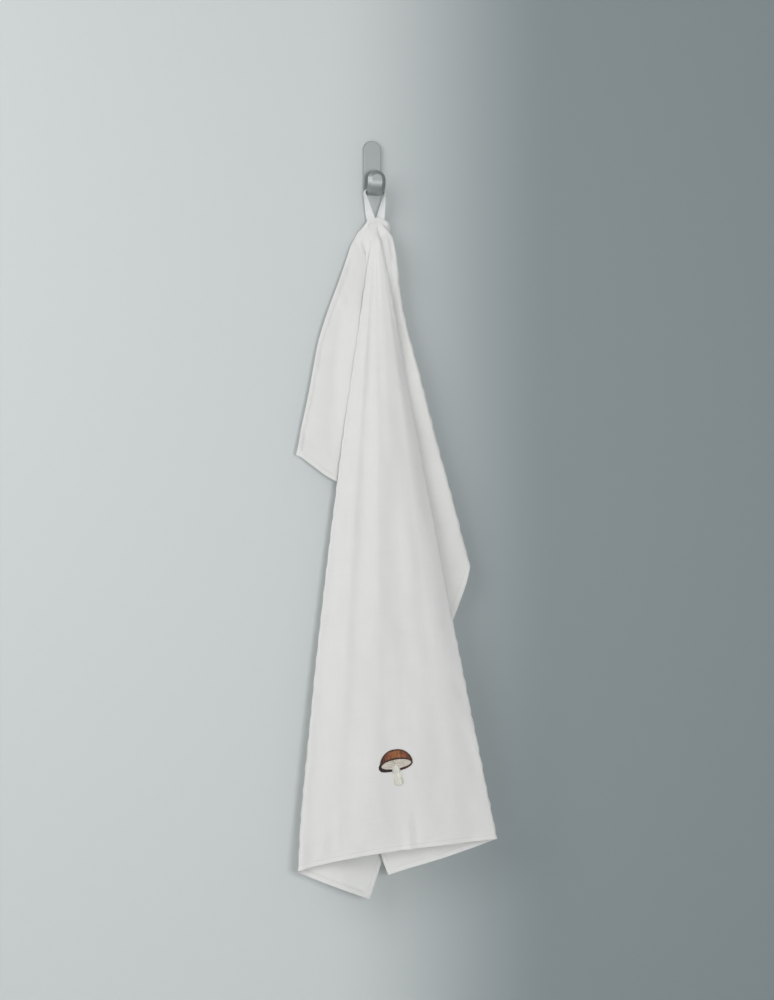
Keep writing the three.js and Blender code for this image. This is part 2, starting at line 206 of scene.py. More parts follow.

# %% [markdown]
# ## Creases
# Cloth that has been folded and washed keeps soft ridges and troughs that no fold explains. They could be
# noise, but noise looks the same everywhere. The main ones are listed one by one instead, each as a line on
# the flat cloth with a height and a width, and they fade at both ends.

# %% Creases listed one by one
# name, start and end on the cloth (right of the loop, down from the top edge), height, half width at both
CREASES = [
    ("panel_trough", (-10, 70), (-74, 420), -1.5, 6, 15),
    ("panel_ridge_left", (-16, 80), (-108, 520), 1.3, 5, 16),
    ("panel_ridge_middle", (-22, 190), (-48, 470), 1.2, 8, 16),
    ("panel_trough_low", (-10, 280), (-24, 560), -1.3, 9, 15),
    ("panel_ridge_low", (4, 330), (0, 560), 1.2, 9, 14),
    ("panel_lean_low", (-60, 520), (-92, 690), 1.6, 16, 20),
    ("hem_pucker_left", (-34, 672), (-36, 712), 1.6, 4, 5),
    ("hem_pucker_right", (-25, 664), (-24, 712), -1.8, 4, 6),
    ("hem_trough_left", (-140, 640), (-150, 712), -1.5, 8, 9),
    ("edge_dent_upper", (44, 520), (60, 548), -1.4, 6, 7),
    ("edge_bump", (52, 560), (70, 600), 1.4, 7, 8),
    ("edge_dent_lower", (58, 618), (80, 640), -1.5, 6, 8),
    ("panel_flank", (15, 109), (72, 555), -5.5, 8, 17),
    ("strip_edge", (41, 68), (197, 338), 4.5, 8, 20),
    ("flap_trough", (-120, 18), (-262, 44), -2.2, 8, 14),
    ("flap_ridge", (-90, 30), (-240, 76), 1.6, 8, 12),
    ("flap_corner", (-270, -4), (-300, 16), 1.8, 8, 9),
    ("neck_pinch", (-20, 9), (-40, 24), -2.4, 2, 3),
    ("neck_valley", (1.6, 6.5), (4.6, 22), -2.0, 1.3, 1.8),
    ("right_strip_crease", (9, 17), (23, 46), -1.8, 1.3, 2),
    ("right_strip_ridge", (14, 22), (60, 112), 1.6, 3, 7),
    ("right_flap_trough", (96, 190), (190, 372), -1.4, 9, 11),
    ("left_foot_flick", (-250, 664), (-250, 826), 18, 60, 60),
    ("right_foot_flick", (150, 672), (150, 820), 9, 60, 60),
]
# shares of a crease's length between which it rises at its start and fades at its end
CREASE_START, CREASE_END = (-0.15, 0.25), (1.15, 0.75)


def crease_height(u, v):
    """Height of the creases at a place on the flat cloth."""
    height = np.zeros_like(u)
    for _, start, end, tall, first_half, last_half in CREASES:
        (u0, v0), (u1, v1) = start, end
        length = math.hypot(u1 - u0, v1 - v0)
        along = ((u - u0) * (u1 - u0) + (v - v0) * (v1 - v0)) / length**2
        across = ((u - u0) * (v1 - v0) - (v - v0) * (u1 - u0)) / length
        half = mix(first_half, last_half, np.clip(along, 0, 1))
        fade = smooth(along, *CREASE_START) * smooth(along, *CREASE_END)
        height += tall * fade * bell(across / half)
    return height


print("creases", len(CREASES))

# %% [markdown]
# ## Unevenness and the pull of the hem
# Between the creases the cloth is never quite even. Long, low waves run down it, and the sewn hem draws
# it up into short ripples that die out within a few centimetres. Both are sums of a few sine waves with
# chosen lengths, so the script gives the same cloth each time.

# %% Slow waves and hem ripples
# waves across and down in one metre of cloth, start of the wave, height
SLOW_WAVES = [
    (9.0, 1.7, 0.4, 0.55),
    (14.5, -3.1, 1.9, 0.4),
    (5.5, 6.3, 4.4, 0.5),
    (23.0, 4.9, 2.7, 0.22),
    (31.0, -9.7, 5.2, 0.14),
]
# ripples in one metre of hem, start of the wave, height
HEM_RIPPLES = [(21, 0.9, 0.28), (34, 3.3, 0.2), (53, 1.4, 0.12)]
HEM_RIPPLE_REACH = 26
HEM_CURL = 6.5
HEM_CURL_DEPTH = 7
# distances left of the loop, or out from it, between which an effect rises or fades
CURL_RISE, CURL_FADE = (9, 18), (70, 20)
CREASE_RISE = (5, 14)
UNEVEN_RISE = (10, 50)


def edge_distance(u, v):
    """Distance from the nearest edge of the flat cloth."""
    return np.minimum.reduce([u + LEFT_OF_LOOP, RIGHT_OF_LOOP - u, v, TOWEL_LENGTH - v])


def unevenness(u, v):
    """Height of the slow waves and of the ripples near the hem."""
    height = np.zeros_like(u)
    for across, down, start, tall in SLOW_WAVES:
        height += tall * np.sin(2 * math.pi * (u * across + v * down) * MM + start)
    ripples = np.zeros_like(u)
    for waves, start, tall in HEM_RIPPLES:
        ripples += tall * np.sin(2 * math.pi * (u + v) * waves * MM + start)
    return height + ripples * np.exp(-edge_distance(u, v) / HEM_RIPPLE_REACH)


def relief(u, v):
    """How far creases and unevenness lift the cloth. Left of the loop the top hem curls backwards."""
    radius = np.hypot(u, v)
    curl = HEM_CURL * smooth(v, HEM_CURL_DEPTH, 0) * smooth(-u, *CURL_RISE) * smooth(-u, *CURL_FADE)
    creases = crease_height(u, v) * smooth(radius, *CREASE_RISE)
    return creases + unevenness(u, v) * smooth(radius, *UNEVEN_RISE) - curl


print("relief at the middle of the panel", relief(np.array([-40.0]), np.array([400.0])).round(2), "mm")


# %% Wobble of the sharp folds
# fold, length of the wave, start of the wave, height
WOBBLES = [
    ("left_front", 24, 0.6, 0.35),
    ("left_front", 13, 2.2, 0.2),
    ("right_front", 15, 0.2, 0.4),
    ("right_front", 23, 1.7, 0.45),
    ("right_edge", 17, 2.9, 0.28),
    ("right_edge", 29, 0.8, 0.3),
]
WOBBLE_REACH = 9
WOBBLE_RISE = (30, 90)


def wobble(angle, radius):
    """How far the line of a sharp fold strays to its sides, because the woven cloth does not bend evenly."""
    strays = np.zeros_like(radius)
    for name, length, start, tall in WOBBLES:
        away = np.radians(angle - fold_angle[fold_names.index(name)]) * radius
        wave = tall * np.sin(2 * math.pi * radius / length + start)
        strays += wave * bell(away / WOBBLE_REACH) * smooth(radius, *WOBBLE_RISE)
    return strays


print("folds that wobble", sorted({row[0] for row in WOBBLES}))

# %% [markdown]
# ## The pull of the loop
# The loop carries the whole weight at one point. Its seam draws the neck up, the cloth beside it sags
# into a shoulder, and the gathered strip at the right swells out. The loose left flap lies close to the
# panel, and its corner drops. Moving single points by hand would leave dents, so each of these is one
# smooth shift with a place and a reach.

# %% Pull of the loop on the neck
# a pair gives the angles or distances between which a shift rises or fades
SHOULDER_SAG = 8
SHOULDER_RISE, SHOULDER_FADE = (6, 17), (50, 24)
NECK_LIFT = 2
NECK_LIFT_FADE = (12, 3)
STRIP_SWELL = 7
STRIP_FORWARD = 6.5
STRIP_LEFT, STRIP_RIGHT, STRIP_RISE = (15, 30), (62, 36), (4, 26)
STRIP_FULL_END, STRIP_REACH = 30, 54
FLAP_SIDE = (-62, -72)
FLAP_FORWARD = 3.5
FLAP_FORWARD_RISE = (70, 140)
FLAP_DROP = 10
FLAP_DROP_SIDE, FLAP_DROP_RISE = (-90, -79), (170, 290)
FLAP_BOW = 4.5
FLAP_BOW_SIDE = (-70, -88)
FLAP_BOW_PLACE, FLAP_BOW_REACH = 150, 52


def neck_pull(u, angle, radius):
    """Shifts to the right, forward and up of places near the neck and on the left flap."""
    sag = SHOULDER_SAG * smooth(-u, *SHOULDER_RISE) * smooth(radius, *SHOULDER_FADE)
    lift = NECK_LIFT * smooth(radius, *NECK_LIFT_FADE)
    strip = smooth(angle, *STRIP_LEFT) * smooth(angle, *STRIP_RIGHT) * smooth(radius, *STRIP_RISE)
    strip = strip * bell(np.maximum(radius - STRIP_FULL_END, 0) / STRIP_REACH)
    flap = smooth(angle, *FLAP_SIDE)
    close = FLAP_FORWARD * flap * smooth(radius, *FLAP_FORWARD_RISE)
    drop = FLAP_DROP * flap * smooth(angle, *FLAP_DROP_SIDE) * smooth(radius, *FLAP_DROP_RISE)
    bow = FLAP_BOW * smooth(angle, *FLAP_BOW_SIDE) * bell((radius - FLAP_BOW_PLACE) / FLAP_BOW_REACH)
    return STRIP_SWELL * strip - bow, STRIP_FORWARD * strip + close, lift - sag - drop


strip_shift = neck_pull(np.array([20.0]), np.array([35.0]), np.array([35.0]))
print("strip shifts right, forward and up by", np.round(strip_shift, 1).ravel(), "mm")


# %% Places on the hanging cloth
LEAN_STEPS = 240
LEAST_RADIUS = 0.05
NORMAL_STEP = 0.6


def hang(u, v):
    """Where places of the flat cloth hang, in millimetres. Each is reached by walking out from the loop."""
    u, v = np.asarray(u, float), np.asarray(v, float)
    radius = np.maximum(np.hypot(u, v), LEAST_RADIUS)
    angle = np.degrees(np.arctan2(u, v))
    x = np.full_like(radius, LOOP_POINT[0])
    z = np.full_like(radius, LOOP_POINT[2])
    step = radius / LEAN_STEPS
    for k in range(LEAN_STEPS):
        middle = (k + 0.5) * step
        share = smooth(middle, TURN_START, TURN_END)
        lean = np.radians(mix(angle, lean_at(angle, middle), share))
        x += step * np.sin(lean)
        z -= step * np.cos(lean)
    x += wobble(angle, radius)
    spread = smooth(radius, SPREAD_START, SPREAD_END)
    y = mix(LOOP_POINT[1], -depth_at(angle, radius), spread)
    sideways, forward, upward = neck_pull(u, angle, radius)
    return np.stack([x + sideways, y - forward - relief(u, v), z + upward], -1)


def on_cloth(u, v, lift):
    """Places lifted off the face of the cloth, and the face's direction there."""
    u, v = np.asarray(u, float), np.asarray(v, float)
    d = NORMAL_STEP
    corners = hang(np.concatenate([u, u + d, u - d, u, u]), np.concatenate([v, v, v, v + d, v - d]))
    place, right, left, below, above = corners.reshape(5, -1, 3)
    out = np.cross(below - above, right - left)
    out /= np.linalg.norm(out, axis=1)[:, None]
    return place + out * np.asarray(lift)[..., None], out


corner = hang([-LEFT_OF_LOOP], [TOWEL_LENGTH])
print("lower left corner hangs at", corner.round(1))

# %% [markdown]
# ## The sheet
# The cloth is one closed sheet. A plain square grid would cut across the folds and make them ragged, so
# the grid's columns follow the folds out from the loop and its rows follow the edges near the hem. The
# hem is cloth turned over twice, so there the sheet is thicker, with a narrow dip where the stitches pull
# it in.

# %% Rows of the sheet
HEM_WIDTH = 6
HEM_INSETS = [8.5, 7.2, 6.5, 5.9, 5.2, 3.4, 1.6, 0.5, 0]
FIRST_RADIUS = 0.7
NECK_ROWS = 50
NECK_ROWS_END = 180
NECK_ROWS_POWER = 1.6
LOWER_ROWS = 82
ROW_COUNT = NECK_ROWS + LOWER_ROWS + len(HEM_INSETS)


def reach(angle, inset=0.0):
    """Length of cloth from the loop to a line that runs inset from the edge, along each angle."""
    side = np.where(angle < 0, LEFT_OF_LOOP, RIGHT_OF_LOOP) - inset
    to_bottom = (TOWEL_LENGTH - inset) / np.maximum(np.cos(np.radians(angle)), 1e-6)
    to_side = side / np.maximum(np.abs(np.sin(np.radians(angle))), 1e-6)
    return np.minimum(to_bottom, to_side)


def row_radius(row, angle):
    """Distance from the loop of one row: the same all round at the neck, then following the hem."""
    if row <= NECK_ROWS:
        share = (row / NECK_ROWS) ** NECK_ROWS_POWER
        return np.full_like(angle, mix(FIRST_RADIUS, NECK_ROWS_END, share))
    if row <= NECK_ROWS + LOWER_ROWS:
        share = (row - NECK_ROWS) / LOWER_ROWS
        return mix(NECK_ROWS_END, reach(angle, HEM_INSETS[0]), share)
    return reach(angle, HEM_INSETS[row - NECK_ROWS - LOWER_ROWS])


print("rows", ROW_COUNT, "of which", len(HEM_INSETS), "follow the hem")

# %% Columns of the sheet
COLUMN_SPACING = 4.6
TURN_SHARES = np.linspace(-1, 1, 7)
TOP_HEM_LIMIT = 0.45


def pleat_ends(row):
    """Angles where each pleat starts and ends on one row, between the turns of its two folds."""
    turned = np.diag(turn_angles(np.maximum(row_radius(row, fold_angle), 1)))
    half = np.where(is_soft, 0, turned)
    return (fold_angle + half)[:-1], (fold_angle - half)[1:], half


def column_plan():
    """The columns as (fold, side of its turn, share of the next pleat), one through each lower corner."""
    corners = [math.degrees(math.atan2(u, TOWEL_LENGTH)) for u in (-LEFT_OF_LOOP, RIGHT_OF_LOOP)]
    starts, ends, _ = pleat_ends(ROW_COUNT - 1)
    plan = []
    for i in range(len(FOLDS)):
        plan += [(i, side, None) for side in ([0.0] if is_soft[i] else TURN_SHARES)]
        if i + 1 == len(FOLDS):
            break
        middle = np.array([(fold_angle[i] + fold_angle[i + 1]) / 2])
        across = math.radians(gaps[i]) * float(reach(middle)[0])
        count = max(int(across / COLUMN_SPACING), 3)
        shares = np.arange(1, count) / count
        for corner_angle in corners:
            share = (corner_angle - starts[i]) / (ends[i] - starts[i])
            if 0 < share < 1:
                shares[np.argmin(np.abs(shares - share))] = share
        plan += [(i, None, share) for share in shares]
    return plan


def column_angles(plan, row):
    """Angle of every column on one row."""
    starts, ends, half = pleat_ends(row)
    angles = []
    for i, side, share in plan:
        if share is None:
            angles.append(fold_angle[i] + side * half[i])
        else:
            angles.append(mix(starts[i], ends[i], share))
    return np.array(angles)


def follow_top_hem(angles, row):
    """Moves the outermost columns on to lines that run along the top hem."""
    lines = HEM_INSETS[-2::-1]
    for end, sign in ((0, 1), (len(angles) - 1, -1)):
        pleat = gaps[0] if end == 0 else gaps[-1]
        radius = float(row_radius(row, np.array([angles[end]]))[0])
        rest = len(lines) + 1
        limit = abs(angles[end + sign * rest] - angles[end]) / rest
        for k, inset in enumerate(lines, start=1):
            wanted = math.degrees(math.asin(min(inset / radius, 1)))
            angles[end + sign * k] = angles[end] + sign * min(wanted, limit * k, TOP_HEM_LIMIT * pleat)
    return angles


columns = column_plan()
sheet_angle = np.stack([follow_top_hem(column_angles(columns, row), row) for row in range(ROW_COUNT)], 1)
sheet_radius = np.stack([row_radius(row, sheet_angle[:, row]) for row in range(ROW_COUNT)], 1)
sheet_u = sheet_radius * np.sin(np.radians(sheet_angle))
sheet_v = np.maximum(sheet_radius * np.cos(np.radians(sheet_angle)), 0)
print("sheet", len(columns), "columns by", ROW_COUNT, "rows")

# %% Thickness of the cloth and of its hem
CLOTH_HALF = 0.35
HEM_HALF = 0.95
HEM_STEP = (HEM_WIDTH - 0.3, HEM_WIDTH + 0.9)
STITCH_INSET = 5.3
STITCH_DIP, STITCH_DIP_REACH = 0.45, 0.7
ROLLED_SHARE, ROLLED_WIDTH = 0.55, 0.6


def half_thickness(u, v):
    """Half the thickness of the sheet: full in the hem, drawn in by the stitches and rolled at the edge."""
    inset = edge_distance(u, v)
    hem = mix(HEM_HALF, CLOTH_HALF, smooth(inset, *HEM_STEP))
    dip = STITCH_DIP * bell((inset - STITCH_INSET) / STITCH_DIP_REACH)
    rolled = mix(ROLLED_SHARE, 1, smooth(inset, 0, ROLLED_WIDTH))
    return (hem - dip) * rolled


edge_hem_middle = half_thickness(np.zeros(3), np.array([0.0, 3, 90]))
print("half thickness at edge, hem and middle", edge_hem_middle.round(2))


# %% Closed sheet from the grid
def new_piece(name, points, faces, material_name):
    """A smooth mesh object in metres that rides on the part's one body."""
    mesh = bpy.data.meshes.new(name)
    mesh.from_pydata((np.asarray(points) * MM).tolist(), [], np.asarray(faces).tolist())
    mesh.validate()
    mesh.shade_smooth()
    piece = bpy.data.objects.new(name, mesh)
    bpy.context.scene.collection.objects.link(piece)
    mesh.materials.append(materials[material_name])
    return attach(piece, "root")


def grid_faces(wide, tall, first=0, flip=False):
    """Quads of a grid whose points are numbered from first, column by column."""
    index = first + np.arange(wide * tall).reshape(wide, tall)
    quads = np.stack([index[:-1, :-1], index[:-1, 1:], index[1:, 1:], index[1:, :-1]], -1).reshape(-1, 4)
    return quads[:, ::-1] if flip else quads


def rim_faces(wide, tall):
    """Quads that join the front of a closed grid to its back, all the way round."""
    index = np.arange(wide * tall).reshape(wide, tall)
    loop = np.concatenate([index[:, 0], index[-1, 1:], index[-2::-1, -1], index[0, -2:0:-1]])
    after = np.roll(loop, -1)
    back = wide * tall
    return np.stack([loop, after, after + back, loop + back], -1)


def add_uv(piece, name, values):
    """Stores one pair of numbers for each vertex as a UV map."""
    layer = piece.data.uv_layers.new(name=name)
    corner = np.zeros(len(piece.data.loops), int)
    piece.data.loops.foreach_get("vertex_index", corner)
    layer.data.foreach_set("uv", np.asarray(values)[corner].astype(np.float32).ravel())


MATERIAL_NAMES = ["towel_cloth", "loop_tape", "hook_steel", "hem_thread", "embroidery_floss"]
materials = {name: bpy.data.materials.new(name) for name in MATERIAL_NAMES}
print("materials to fill", MATERIAL_NAMES)

# %% The towel
middle = hang(sheet_u.ravel(), sheet_v.ravel()).reshape(*sheet_u.shape, 3)
down = np.gradient(middle, axis=1)
across = np.gradient(middle, axis=0)
face = np.cross(down, across)
face /= np.maximum(np.linalg.norm(face, axis=2), 1e-9)[..., None]
offset = face * half_thickness(sheet_u, sheet_v)[..., None]
wide, tall = sheet_u.shape
points = np.concatenate([(middle + offset).reshape(-1, 3), (middle - offset).reshape(-1, 3)])
faces = np.concatenate([
    grid_faces(wide, tall),
    grid_faces(wide, tall, wide * tall, flip=True),
    rim_faces(wide, tall)[:, ::-1],
])
towel = new_piece("towel_sheet", points, faces, "towel_cloth")
add_uv(towel, "cloth", np.tile(np.stack([sheet_u.ravel(), sheet_v.ravel()], -1) * MM, (2, 1)))
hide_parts("towel")
print("towel", len(faces) * 2, "triangles")

# %% [markdown]
# ## The hook
# The hook is one flat strip with round ends, bent into a J. A box with a bevel would leave hard corners
# at the bend, so the strip is first drawn flat, as rings that shrink from its outline to its middle line,
# and then every point is carried round the bend. Its inner side stays flat. Its outer side is ground away
# at the rim, more so at the tongue.

# %% Sizes of the hook
STRIP_WIDTH = 20.5
STRIP_THICKNESS = 4
PLATE_TOP = 22.6
BEND_HEIGHT = -25.5
BEND_INNER_RADIUS = 11
TONGUE_TOP = -13.8
RIM_INSETS = [0, 0.15, 0.35, 0.6, 0.9, 1.4, 2.2, 3.0, 3.7, 4.1, 4.4, 4.7, 5.2, 7.0]
INNER_ROUND = 0.6
PLATE_GROUND = 0.9
TONGUE_GROUND = 4.4
TONGUE_SHARES = (0.3, 0.85)
TONGUE_RIM_SHIFT = 1.2
GROUND_POWER = 1.08
STRIP_STEP = 1.1
END_STEPS = 14
HOOK_WELD = 0.01 * MM

strip_half = STRIP_WIDTH / 2
sheet_half = STRIP_THICKNESS / 2
bend_radius = BEND_INNER_RADIUS + sheet_half
bend_y = -STRIP_THICKNESS - BEND_INNER_RADIUS
plate_length = PLATE_TOP - BEND_HEIGHT
bend_length = math.pi * bend_radius
strip_length = plate_length + bend_length + TONGUE_TOP - BEND_HEIGHT
print("hook strip", round(strip_length, 1), "mm long before it is bent")


# %% Flat strip and its bend
def strip_outline():
    """Points of the middle line and the directions from them to the outline, once round the strip."""
    straight = np.linspace(strip_half, strip_length - strip_half, int(strip_length / STRIP_STEP))
    turn = np.linspace(0, math.pi, END_STEPS + 1)[1:-1]
    low = [(strip_length - strip_half, math.sin(a), math.cos(a)) for a in turn]
    high = [(strip_half, -math.sin(a), -math.cos(a)) for a in turn]
    right = [(s, 0.0, 1.0) for s in straight]
    left = [(s, 0.0, -1.0) for s in straight[::-1]]
    return np.array(right + low + left + high)


def bent(along, across, height):
    """Carries points of the flat strip round the bend. Height is towards the inside of the J."""
    turn = np.clip((along - plate_length) / bend_radius, 0, math.pi)
    below = np.clip(along, 0, plate_length) - plate_length
    above = np.maximum(along - plate_length - bend_length, 0)
    y = bend_y + (bend_radius - height) * np.cos(turn)
    z = BEND_HEIGHT - (bend_radius - height) * np.sin(turn) - below + above
    return np.stack([across, y, z], -1)


def strip_heights(along, inset):
    """Heights of the strip's inner and outer side at a distance from its outline."""
    tongue = smooth((along - plate_length) / bend_length, *TONGUE_SHARES)
    rim = TONGUE_RIM_SHIFT * tongue
    inside = np.clip(inset / INNER_ROUND, 0, 1)
    inner = rim + (sheet_half - rim) * np.sqrt(1 - (1 - inside) ** 2)
    ground = np.clip(inset / mix(PLATE_GROUND, TONGUE_GROUND, tongue), 0, 1)
    outer = -sheet_half + (rim + sheet_half) * (1 - ground) ** GROUND_POWER
    return inner, outer


outline = strip_outline()
insets = np.array(RIM_INSETS + [strip_half])
share = 1 - insets / strip_half
along = outline[:, 0:1] + strip_half * share * outline[:, 1:2]
across = strip_half * share * outline[:, 2:3]
inner, outer = strip_heights(along, np.broadcast_to(insets, along.shape))
rings = np.concatenate([bent(along, across, inner)[:, ::-1], bent(along, across, outer)[:, 1:]], 1)
around, through = rings.shape[:2]
ring_faces = grid_faces(around + 1, through)
ring_faces = np.where(ring_faces >= around * through, ring_faces - around * through, ring_faces)
print("hook rings", around, "by", through)


# %% The hook
def weld(piece, distance):
    """Merges the points that lie on each other and turns every face outwards."""
    work = bmesh.new()
    work.from_mesh(piece.data)
    bmesh.ops.remove_doubles(work, verts=work.verts, dist=distance)
    bmesh.ops.dissolve_degenerate(work, edges=work.edges, dist=distance)
    bmesh.ops.recalc_face_normals(work, faces=work.faces)
    work.to_mesh(piece.data)
    work.free()
    piece.data.shade_smooth()


hook = new_piece("hook_strip", rings.reshape(-1, 3), ring_faces, "hook_steel")
strip_uv = np.stack([across, along], -1)
add_uv(hook, "strip", np.concatenate([strip_uv[:, ::-1], strip_uv[:, 1:]], 1).reshape(-1, 2) * MM)
weld(hook, HOOK_WELD)
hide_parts("wall_hook")
print("hook", len(hook.data.polygons), "faces")

# %% [markdown]
# ## The tape loop
# A narrow woven tape lies across the bend of the hook, drops past both edges of the strip and is sewn
# behind the top hem. A curve with a bevel would twist where it likes, so the tape is swept through given
# stations: each station has a middle point and says which way the width lies. Over the hook the width runs
# from front to back, and at the seam from side to side.

# %% Stations of the tape
TAPE_WIDTH = 10
TAPE_THICKNESS = 0.9
TAPE_HANG_SPREAD = 11.5
TAPE_TURN_RADIUS = 3
TAPE_SEAT_HEIGHT = 0.85
SEWN_LENGTH = 5
SEWN_SPACING = 10.4
SEWN_BEHIND = 1.6
STRAIGHT_DROP = 0.09
STRAND_EASE = (0.1, 0.9)
STRAND_BOW = 1.1
SECTION_POWERS = (0.3, 0.6)
TAPE_WELD = 0.001 * MM
TURN_STEPS = 8
STRAND_STEPS = 30
SECTION_POINTS = 20

tape_half = TAPE_WIDTH / 2
tape_top = BEND_HEIGHT - math.sqrt(BEND_INNER_RADIUS**2 - tape_half**2) + TAPE_SEAT_HEIGHT
strand_top = tape_top - TAPE_TURN_RADIUS


def tape_half_loop():
    """Stations from the middle of the hook down the right strand: x, y, z and the turn of the width."""
    turn = np.linspace(0, math.pi / 2, TURN_STEPS + 1)
    over_x = TAPE_HANG_SPREAD - TAPE_TURN_RADIUS * (1 - np.sin(turn))
    over_z = strand_top + TAPE_TURN_RADIUS * np.cos(turn)
    over = np.stack([over_x, np.full_like(turn, bend_y), over_z, np.zeros_like(turn)], -1)
    share = np.arange(1, STRAND_STEPS + 1) / STRAND_STEPS
    ease = smooth(share, *STRAND_EASE)
    turned = np.arcsin(np.clip((share - STRAIGHT_DROP) / (1 - STRAIGHT_DROP), 0, 1))
    strand_x = mix(TAPE_HANG_SPREAD, SEWN_SPACING / 2, share**STRAND_BOW)
    strand_y = mix(bend_y, LOOP_POINT[1] + SEWN_BEHIND, ease)
    strand_z = mix(strand_top, LOOP_POINT[2], share)
    strand = np.stack([strand_x, strand_y, strand_z, turned], -1)
    sewn = strand[-1:] + [[0, 0, -SEWN_LENGTH, 0]]
    return np.concatenate([over, strand, sewn])


right_half = tape_half_loop()
left_half = right_half[::-1] * [-1, 1, 1, 1]
stations = np.concatenate([left_half, right_half])
dropped = np.clip((stations[:, 2] - strand_top) / (LOOP_POINT[2] - strand_top), 0, 1)
stations[:, 0] += LOOP_POINT[0] * dropped
tape_line = stations[:, :3]

# %% The tape
facing = stations[:, 3]
width_way = np.stack([np.sin(facing), -np.cos(facing), np.zeros_like(facing)], -1)
thick_way = np.cross(np.gradient(tape_line, axis=0), width_way)
thick_way /= np.linalg.norm(thick_way, axis=1)[:, None]
turn = np.linspace(0, 2 * math.pi, SECTION_POINTS, endpoint=False)
section_w = tape_half * np.sign(np.cos(turn)) * np.abs(np.cos(turn)) ** SECTION_POWERS[0]
section_t = TAPE_THICKNESS / 2 * np.sign(np.sin(turn)) * np.abs(np.sin(turn)) ** SECTION_POWERS[1]
tape_points = (
    tape_line[:, None]
    + width_way[:, None] * section_w[None, :, None]
    + thick_way[:, None] * section_t[None, :, None]
)


def closed_tube(count, around):
    """Faces of a tube of rings, with a strip of quads over each end."""
    index = np.arange(count * around).reshape(count, around)
    after = np.roll(index, -1, axis=1)
    sides = np.stack([index[:-1], after[:-1], after[1:], index[1:]], -1).reshape(-1, 4)
    half = around // 2
    k = np.arange(half - 1)
    cap = np.stack([k, k + 1, around - 2 - k, around - 1 - k], -1)
    return np.concatenate([sides, cap[:, ::-1], cap + (count - 1) * around])


tape_faces = closed_tube(len(stations), SECTION_POINTS)
tape = new_piece("loop_of_tape", tape_points.reshape(-1, 3), tape_faces, "loop_tape")
run = np.concatenate([[0], np.cumsum(np.linalg.norm(np.diff(tape_line, axis=0), axis=1))])
tape_uv = np.stack(np.broadcast_arrays(section_w[None], run[:, None]), -1).reshape(-1, 2)
add_uv(tape, "cloth", tape_uv * MM)
weld(tape, TAPE_WELD)
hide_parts("hanging_loop")
print("tape", len(tape.data.polygons), "faces")

# %% [markdown]
# ## Threads
# The hem is held by a line of stitches, and the motif is filled with floss. Real stitches catch the
# light one by one, so they are geometry and not a picture: every stitch is a short tube that dips into
# the cloth at both ends. All stitches of one kind are built as arrays and joined into one mesh.

# %% Stitches as joined tubes
THREAD_SIDES = 6


def stitch_tubes(name, places, outward, thickness, material_name):
    """One mesh of many stitches. Places and outward directions have a row of points for each stitch."""
    count, length = places.shape[:2]
    tangent = np.gradient(places, axis=1)
    tangent /= np.maximum(np.linalg.norm(tangent, axis=2), 1e-9)[..., None]
    sideways = np.cross(tangent, outward)
    angle = np.linspace(0, 2 * math.pi, THREAD_SIDES, endpoint=False)
    ring = (
        np.cos(angle)[:, None] * sideways[:, :, None, :]
        + np.sin(angle)[:, None] * outward[:, :, None, :]
    )
    points = places[:, :, None, :] + thickness / 2 * ring
    one = closed_tube(length, THREAD_SIDES)
    faces = (one[None] + (np.arange(count) * length * THREAD_SIDES)[:, None, None]).reshape(-1, 4)
    piece = new_piece(name, points.reshape(-1, 3), faces, material_name)
    run = np.linalg.norm(np.diff(places, axis=1), axis=2).cumsum(axis=1)
    run = np.concatenate([np.zeros((count, 1)), run], 1)
    uv = np.stack(np.broadcast_arrays(run[:, :, None], angle[None, None] / (2 * math.pi)), -1)
    add_uv(piece, "thread", uv.reshape(-1, 2) * [MM, 1])
    return piece


print("a thread has", THREAD_SIDES, "sides")

# %% Hem stitches
STITCH_LENGTH = 2.7
STITCH_PITCH = 3.3
HEM_THREAD = 0.45
STITCH_SHARES = np.array([0, 0.3, 0.7, 1])
STITCH_LIFTS = np.array([-0.25, 0.12, 0.12, -0.25])


def hem_line():
    """Start and end on the cloth of every stitch along the four sides."""
    low_u, high_u = STITCH_INSET - LEFT_OF_LOOP, RIGHT_OF_LOOP - STITCH_INSET
    low_v, high_v = STITCH_INSET, TOWEL_LENGTH - STITCH_INSET
    corners = [(low_u, low_v), (high_u, low_v), (high_u, high_v), (low_u, high_v)]
    stitches = []
    for k, start in enumerate(corners):
        start, end = np.array(start), np.array(corners[(k + 1) % 4])
        side = np.linalg.norm(end - start)
        way = (end - start) / side
        for s in np.arange(int(side / STITCH_PITCH)) * STITCH_PITCH:
            stitches.append((start + way * s, start + way * (s + STITCH_LENGTH)))
    return np.array(stitches)


stitch_ends = hem_line()
stitch_uv = mix(stitch_ends[:, :1], stitch_ends[:, 1:], STITCH_SHARES[None, :, None])
stitch_u, stitch_v = stitch_uv[..., 0].ravel(), stitch_uv[..., 1].ravel()
hem_places, hem_out = on_cloth(stitch_u, stitch_v, np.zeros(len(stitch_u)))
lift = half_thickness(stitch_u, stitch_v) + np.tile(STITCH_LIFTS, len(stitch_ends))
lifted = hem_out * lift[:, None]
shape = (len(stitch_ends), len(STITCH_SHARES), 3)
both_places = np.concatenate([(hem_places + side * lifted).reshape(shape) for side in (1, -1)])
both_out = np.concatenate([(side * hem_out).reshape(shape) for side in (1, -1)])
hem_stitches = stitch_tubes("hem_stitches", both_places, both_out, HEM_THREAD, "hem_thread")
print("hem stitches", len(both_places))

# %% [markdown]
# ## The embroidered mushroom
# A small mushroom is worked on the front panel. It is drawn here from an ellipse, an arc and a tapering
# stem, and filled the way an embroiderer fills it: cream stitches that spread over the underside, rows
# of long and short stitches up the cap, short dark ones over the rim and long pale ones down the stem.

